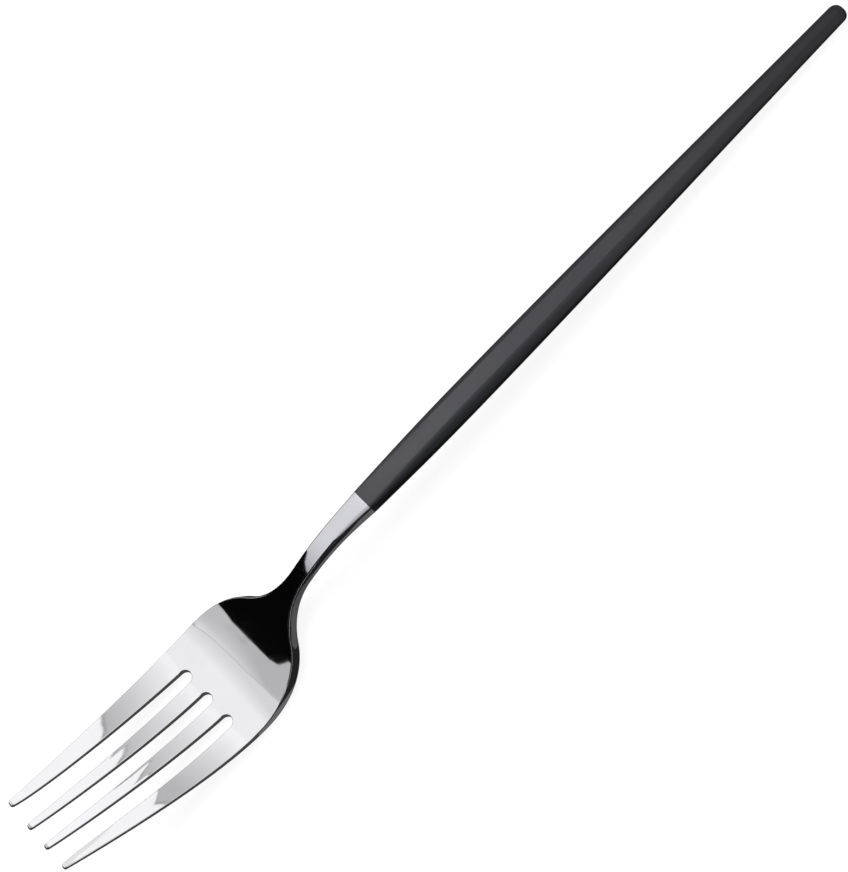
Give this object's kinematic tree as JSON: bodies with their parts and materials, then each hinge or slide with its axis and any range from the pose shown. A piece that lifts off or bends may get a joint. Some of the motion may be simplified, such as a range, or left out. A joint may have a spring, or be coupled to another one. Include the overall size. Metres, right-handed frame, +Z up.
{
  "type": "dinner fork",
  "caption": "Slim table fork with a dished steel head, long tapering tines, a thin neck and a narrow black bonded handle, for spearing and lifting food.",
  "frame": {"origin": "middle of the base of the bounding box, on the surface that the fork lies on", "axes": "+X along the fork towards the end of the handle, so the tines point to -X; +Y across it; +Z up, out of the hollow of the bowl"},
  "size_m": [0.215, 0.0256, 0.0171],
  "materials": {
    "steel": "mirror polished stainless steel with hairline use marks",
    "black_handle": "satin moulded black resin",
    "adhesive": "cured amber epoxy, hidden inside the handle"
  },
  "bodies": {
    "root": {"fork_head": "steel", "handle": "black_handle", "bond": "adhesive"}
  },
  "joints": []
}
